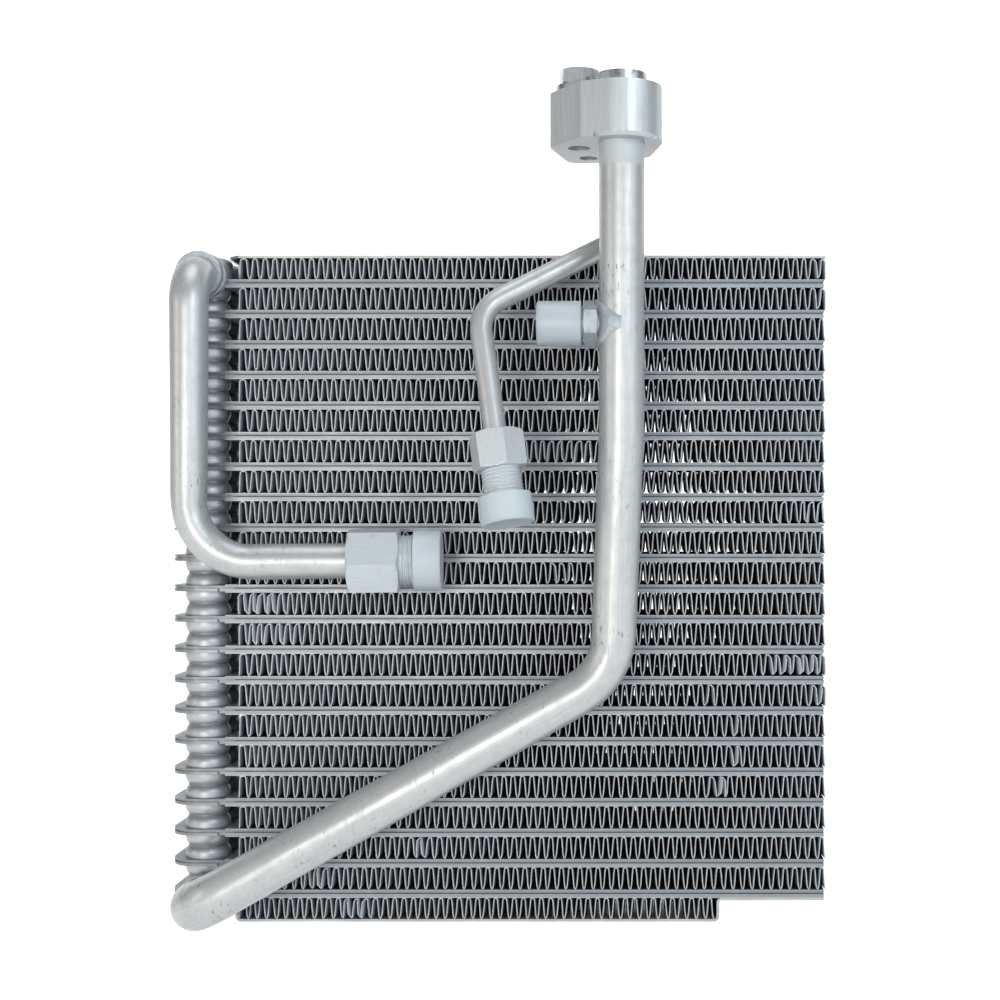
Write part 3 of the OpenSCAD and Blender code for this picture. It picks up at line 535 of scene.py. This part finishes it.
# A pipe: rings square to the line, a little oval and wrinkled where it bends and slightly uneven all
# along; the outer wall runs out and the bore runs back, so that the shell is closed
def drawPipe(name, spec, around=56):
    line, inward, runs = pipeLine(spec["corners"], spec["bends"])
    kernel = np.hanning(9) / np.hanning(9).sum()
    inward = np.stack([np.convolve(inward[:, k], kernel, "same") for k in range(3)], 1)
    bent = np.linalg.norm(inward, axis=1)
    toCentre = inward / np.maximum(bent, 1e-6)[:, None]
    way = unit(np.gradient(line, axis=0))
    travelled = np.append(0, np.cumsum(np.linalg.norm(np.diff(line, axis=0), axis=1)))
    knots = [value for run in runs for value in run]
    sizes = [value for pair in spec["radii"] for value in pair]
    radius = np.interp(travelled, knots, sizes)
    if spec["spigot"]:
        startsHere = abs(spec["corners"][0][1] - collarFace - socket) < 1e-6
        fromEnd = travelled if startsHere else travelled[-1] - travelled
        radius = radius - (radius - spec["spigot"]) * np.clip((socket + 0.1 - fromEnd) / 0.5, 0, 1)
    first = unit(np.cross(way, unit(np.array([1.0, 1.0, 1.0]))))
    second = np.cross(way, first)
    theta = np.linspace(0, 2 * np.pi, around, endpoint=False)
    out = first[:, None] * np.cos(theta)[None, :, None] + second[:, None] * np.sin(theta)[None, :, None]
    inner = np.einsum("ijk,ik->ij", out, toCentre)
    s = travelled[:, None]
    shape = 1 + bent[:, None] * spec["flat"] * (0.35 - inner ** 2)
    ripple = spec["wrinkle"] * bent[:, None] ** 2 * np.clip(inner, 0, 1) ** 3 * np.cos(s * 2 * np.pi / 4.6)
    waver = np.sin(s / 9.1 + 2 * theta) + np.sin(s / 15.7 - 3 * theta + 1) + np.sin(s / 5.3 + theta)
    uneven = 0.018 * waver
    reach = radius[:, None] * shape + ripple + uneven * np.clip((fullLength(s) - 1) / 3, 0, 1)
    outer = line[:, None] + out * reach[..., None]
    bore = line[:, None] + out * (radius - pipeWall)[:, None, None]
    points = np.vstack([outer, bore[::-1]])
    faces = gridFaces(len(points), around, True, True)
    u = np.repeat(theta[None, :] / (2 * np.pi), len(points), 0)
    v = np.append(travelled, travelled[::-1])[:, None] / 40 + np.zeros((1, around))
    piece = addMesh(name, points, turnOut(points, faces), [drawnPipe], uv=np.stack([u, v], -1))
    return finishPiece(piece, "pipe", spec["node"])


for name, spec in pipes.items():
    drawPipe(name, spec)
print("pipes drawn")

# Nuts and caps

inletWay = unit(np.array([91.7, 5.8, 0.7]))
inletTip = np.array([-32.3, -32.35, 136.8])
liquidWay = unit(np.array([-4.6, -70.85, 150.4]) - np.array([-16.4, -56.85, 226.0]))
liquidTip = np.array([-4.6, -70.85, 150.4])
capFloor = 1.6
turned = {
    "inletNut": {
        "node": "inlet_nut", "tip": inletTip, "way": inletWay, "spin": 35, "flats": 22,
        "finish": brushedAcross, "length": 18.8, "thread": 19.05, "show": 5.3, "capLength": 10.0,
        "pipe": 12.7, "pitch": 1.5,
    },
    "liquidNut": {
        "node": "liquid_nut", "tip": liquidTip, "way": liquidWay, "spin": 9, "flats": 17,
        "finish": brushedUpright, "length": 13.2, "thread": 14.0, "show": 9.5, "capLength": 10.0,
        "pipe": 8.0, "pitch": 1.27,
    },
}
portAxis = np.array([34.385, -58.06, 221.1])     # where the port leaves the outlet pipe's line
portReach = 13.4        # from there to the outer face of the port's hexagon
portShow = 0.9          # thread that shows between the hexagon and the cap
portCapLength = 15.6
portTip = portAxis - np.array([portReach + portShow + portCapLength, 0, 0])
capSizes = {
    "inletCap": {
        "node": "inlet_cap", "plastic": milkyCap, "tip": inletTip, "way": inletWay,
        "width": 22.7, "length": 10.0, "bore": 19.35,
    },
    "liquidCap": {
        "node": "liquid_cap", "plastic": milkyCap, "tip": liquidTip, "way": liquidWay,
        "width": 18.6, "length": 10.0, "bore": 14.3,
    },
    "portCap": {
        "node": "port_cap", "plastic": clearCap, "tip": portTip, "way": np.array([-1.0, 0, 0]),
        "width": 15.8, "length": portCapLength, "bore": 11.3,
    },
}


# A turned piece: the profile (place along the axis, radius) goes round the axis; where a row is
# marked, the radius is cut back to a hexagon, and a thread's groove winds with the angle
def turnPiece(name, profile, origin, way, spin, material, flats=0, marks=None, groove=None, around=96):
    profile = np.array(profile, float)
    theta = np.linspace(0, 2 * np.pi, around, endpoint=False)
    side = unit(np.cross(np.array([0, -1.0, 0]), way))
    front = np.cross(way, side)
    radius = np.repeat(profile[:, 1:2], around, 1)
    if flats:
        hexagon = flats / 2 / np.cos(np.mod(theta, np.pi / 3) - np.pi / 6)
        radius = np.where(np.array(marks)[:, None], np.minimum(radius, hexagon[None, :]), radius)
    if groove is not None:
        start, stop, pitch, depth = groove
        cut = 0.5 - 0.5 * np.cos(2 * np.pi * (profile[:, :1] - start) / pitch - theta[None, :])
        inThread = (profile[:, :1] > start) & (profile[:, :1] < stop) & (profile[:, 2:3] > 0)
        radius = radius - np.where(inThread, depth * cut, 0)
    angle = theta + math.radians(spin)
    spoke = side * np.cos(angle)[:, None] + front * np.sin(angle)[:, None]
    points = origin + profile[:, :1, None] * way + radius[..., None] * spoke[None]
    faces = gridFaces(len(points), around, True, True)
    piece = addMesh(name, points, turnOut(points, faces), [material])
    weld(piece)
    piece.data.set_sharp_from_angle(angle=math.radians(32))
    return piece


def weld(piece):
    mesh = bmesh.new()
    mesh.from_mesh(piece.data)
    bmesh.ops.remove_doubles(mesh, verts=mesh.verts, dist=0.000001)
    bmesh.ops.dissolve_degenerate(mesh, edges=mesh.edges, dist=0.0000005)
    mesh.to_mesh(piece.data)
    mesh.free()


def makeNut(name, spec):
    flatR = spec["flats"] / 2
    cornerR = spec["flats"] / math.sqrt(3)
    slope = (cornerR - flatR) / 2
    length = spec["length"]
    threadLength = spec["show"] + spec["capLength"] - capFloor
    threadR = spec["thread"] / 2
    end = length + threadLength
    boreR, wideR = spec["pipe"] / 2 + 0.15, spec["pipe"] / 2 + 1.65
    rows = [(0, boreR, 0, 0)]
    rows += [(z, flatR + (cornerR - flatR) * z / slope, 0, 1) for z in np.linspace(0, slope, 7)]
    rows += [(length - z, flatR + (cornerR - flatR) * z / slope, 0, 1) for z in np.linspace(slope, 0, 7)]
    rows += [(length, threadR - 0.6, 0, 0)]
    rows += [(z, threadR, 1, 0) for z in np.arange(length + 0.05, end - 0.7, spec["pitch"] / 8)]
    rows += [(end - 0.6, threadR, 0, 0), (end, threadR - 0.6, 0, 0), (end, wideR, 0, 0),
             (length, wideR, 0, 0), (length, boreR, 0, 0)]
    profile = [row[:3] for row in rows]
    origin = spec["tip"] - spec["way"] * (spec["capLength"] + spec["show"] + length)
    piece = turnPiece(name, profile, origin, spec["way"], spec["spin"], spec["finish"], spec["flats"],
                      [row[3] for row in rows], (length, end, spec["pitch"], 0.55))
    finishPiece(piece, "fitting", spec["node"])


# A cap: a cup whose rims are rounded by quarter circles, with a floor that dishes in a little
def makeCap(name, spec):
    outer, bore, length = spec["width"] / 2, spec["bore"] / 2, spec["length"]
    arc = np.linspace(0, np.pi / 2, 5)
    mouthR, rimR = 0.3, 0.7
    rows = [(0, bore)]
    rows += [(mouthR * (1 - np.sin(t)), outer - mouthR + mouthR * np.cos(np.pi / 2 - t)) for t in arc]
    rows += [(length - rimR + rimR * np.sin(t), outer - rimR + rimR * np.cos(t)) for t in arc]
    rows += [(length, outer - 1.6), (length - 0.25, outer - 2.2), (length - 0.25, 0)]
    rows += [(length - capFloor, 0), (length - capFloor, bore)]
    mouth = spec["tip"] - spec["way"] * length
    piece = turnPiece(name, [row + (0,) for row in rows], mouth, spec["way"], 0, spec["plastic"])
    finishPiece(piece, "cap_plastic", spec["node"])


# Pressed cups between two tubes: on both tanks, a full round from each plate to the joint
tankCups = {
    "x": -124.5, "ys": (-9.0, 9.0), "foot": 8.4, "straight": 1.2, "round": 4.6, "bore": 5.8, "seat": 1.15,
}


def makeCups(number):
    middle = firstTubeZ + (fins["tubes"] - number - 0.5) * fins["tubePitch"]
    half = fins["tubePitch"] / 2 - tankCups["seat"]
    drop = np.linspace(0, half - tankCups["straight"], 8)
    radius = tankCups["foot"] - tankCups["round"] + np.sqrt(tankCups["round"] ** 2 - drop ** 2)
    up = [(half, tankCups["foot"])] + list(zip(half - tankCups["straight"] - drop, radius))
    rows = up + [(-z, r) for z, r in up[-2::-1]] + [(-half, tankCups["bore"]), (half, tankCups["bore"])]
    for side, y in zip(("Front", "Rear"), tankCups["ys"]):
        piece = turnPiece("cups%s%02d" % (side, number), [row + (0,) for row in rows],
                          np.array([tankCups["x"], y, middle]), np.array([0, 0, 1.0]), 0,
                          plateAluminium, around=56)
        finishPiece(piece, "plate")


for number in range(1, fins["tubes"]):
    makeCups(number)


# The plain cups that close the rear tank over the first tube and under the last
rearCups = {
    "rearUpperCup": {"seat": 241.75, "up": 1},
    "rearLowerCup": {"seat": 9.45, "up": -1},
}


def makeRearCup(name, spec):
    foot, wall, height, footHeight, shoulder, bore = 8.4, 8.7, 9.2, 0.5, 2.0, 5.6
    arc = np.linspace(0, np.pi / 2, 7)
    rows = [(0, bore), (0, foot), (footHeight, foot), (footHeight, wall)]
    rows += [(height - shoulder + shoulder * np.sin(t), wall - shoulder + shoulder * np.cos(t))
             for t in arc]
    rows += [(height, 0), (height - 1.2, 0), (height - 1.2, bore)]
    centre = np.array([tankCups["x"], tankCups["ys"][1], spec["seat"]])
    piece = turnPiece(name, [row + (0,) for row in rows], centre,
                      np.array([0, 0, float(spec["up"])]), 0, bossAluminium, around=64)
    finishPiece(piece, "boss")


for name, spec in rearCups.items():
    makeRearCup(name, spec)
for name, spec in turned.items():
    makeNut(name, spec)
for name, spec in capSizes.items():
    makeCap(name, spec)
print("nuts and caps turned")

# Finishes on the solids

finishes = {
    "top_end_plate": endSheetAluminium, "bottom_end_plate": endSheetAluminium,
    "inlet_end_cup": bossAluminium, "outlet_end_cup": bossAluminium,
    "port_fitting": bossAluminium, "connector_block": blockAluminium,
    "shipping_plate": zincPlating, "shipping_bolt": boltPlating,
}
for number in range(1, fins["tubes"] + 1):
    finishes["tube_%02d" % number] = plateAluminium
for name, finish in finishes.items():
    nodes[name].data.materials.clear()
    nodes[name].data.materials.append(finish)
print("finishes set")

# Stage, camera and light

studio = {
    "floor": (0.86, 0.86, 0.86), "floorSize": 3.0, "backY": 1.7,
    "eye": (0.04257, -0.63685, 0.15597), "focal": 59.04, "shift": (-0.145, 0.008),
    "world": 0.34,
    "lamps": [  # place, size, watts, colour
        ("keyLamp", (-0.35, -1.25, 0.12), 0.42, 4.6, (1.0, 0.95, 0.86)),
        ("coolLamp", (0.7, -1.2, 0.6), 0.5, 4.6, (0.82, 0.93, 1.0)),
        ("sideLamp", (1.15, -0.8, 0.4), 0.9, 2.8, (0.82, 0.93, 1.0)),
        ("frontLamp", (0.12, -1.45, 0.3), 0.6, 2.0, (0.94, 0.97, 1.0)),
        ("topLamp", (0.0, -0.2, 1.2), 0.8, 3.6, (0.92, 0.97, 1.0)),
        ("warmLamp", (-1.1, -0.6, 0.3), 0.5, 1.4, (1.0, 0.95, 0.88)),
    ],
    "aim": (0, 0, 0.14),
}


# Pale stage: it is lit as it is written, and shows white to the camera, to metal and through plastic
def stageMaterial(name, colour, shown):
    material, tree, shader = newMaterial(name)
    shader.inputs["Base Color"].default_value = colour + (1.0,)
    shader.inputs["Roughness"].default_value = 0.9
    paths = addNode(tree, "ShaderNodeLightPath")
    seen = addNode(tree, "ShaderNodeMath", operation="MAXIMUM")
    seenToo = addNode(tree, "ShaderNodeMath", operation="MAXIMUM")
    tree.links.new(paths.outputs["Is Camera Ray"], seen.inputs[0])
    tree.links.new(paths.outputs["Is Glossy Ray"], seen.inputs[1])
    tree.links.new(seen.outputs[0], seenToo.inputs[0])
    tree.links.new(paths.outputs["Is Transmission Ray"], seenToo.inputs[1])
    glow = addNode(tree, "ShaderNodeMath", {1: shown}, operation="MULTIPLY")
    tree.links.new(seenToo.outputs[0], glow.inputs[0])
    shader.inputs["Emission Color"].default_value = (1, 1, 1, 1)
    tree.links.new(glow.outputs[0], shader.inputs["Emission Strength"])
    return material


def stagePlane(name, corners, material):
    piece = addMesh(name, np.array(corners) / mm, np.array([[0, 1, 2, 3]]), [material], smooth=False)
    return piece


size = studio["floorSize"]
back = studio["backY"]
stagePlane("floor", [(-size, -size, 0), (size, -size, 0), (size, back, 0), (-size, back, 0)],
           stageMaterial("floorPaper", studio["floor"], 0.85))
stagePlane("backdrop", [(-size, back, 0), (size, back, 0), (size, back, size), (-size, back, size)],
           stageMaterial("backdropPaper", studio["floor"], 1.0))

world = bpy.data.worlds.new("studioWorld")
scene.world = world
world.use_nodes = True
worldTree = world.node_tree
sky = worldTree.nodes["Background"]
paths = addNode(worldTree, "ShaderNodeLightPath")
level = addNode(worldTree, "ShaderNodeMapRange", {"To Min": studio["world"], "To Max": 1.0})
seen = addNode(worldTree, "ShaderNodeMath", operation="MAXIMUM")
worldTree.links.new(paths.outputs["Is Camera Ray"], seen.inputs[0])
worldTree.links.new(paths.outputs["Is Transmission Ray"], seen.inputs[1])
worldTree.links.new(seen.outputs[0], level.inputs["Value"])
worldTree.links.new(level.outputs["Result"], sky.inputs["Strength"])
sky.inputs["Color"].default_value = (0.95, 0.98, 1, 1)


def aimAt(item, place, target):
    item.location = place
    item.rotation_euler = (Vector(target) - Vector(place)).to_track_quat("-Z", "Y").to_euler()


for name, place, lampSize, watts, colour in studio["lamps"]:
    lamp = bpy.data.lights.new(name, "AREA")
    lamp.shape = "DISK"
    lamp.size = lampSize
    lamp.energy = watts
    lamp.color = colour
    item = bpy.data.objects.new(name, lamp)
    scene.collection.objects.link(item)
    aimAt(item, place, studio["aim"])

camera = bpy.data.cameras.new("camera")
camera.lens = studio["focal"]
camera.sensor_width = 36
camera.shift_x, camera.shift_y = studio["shift"]
eye = bpy.data.objects.new("camera", camera)
scene.collection.objects.link(eye)
eye.location = studio["eye"]
eye.rotation_euler = (math.pi / 2, 0, 0)
scene.camera = eye
scene.view_settings.view_transform = "Standard"
print("stage set")
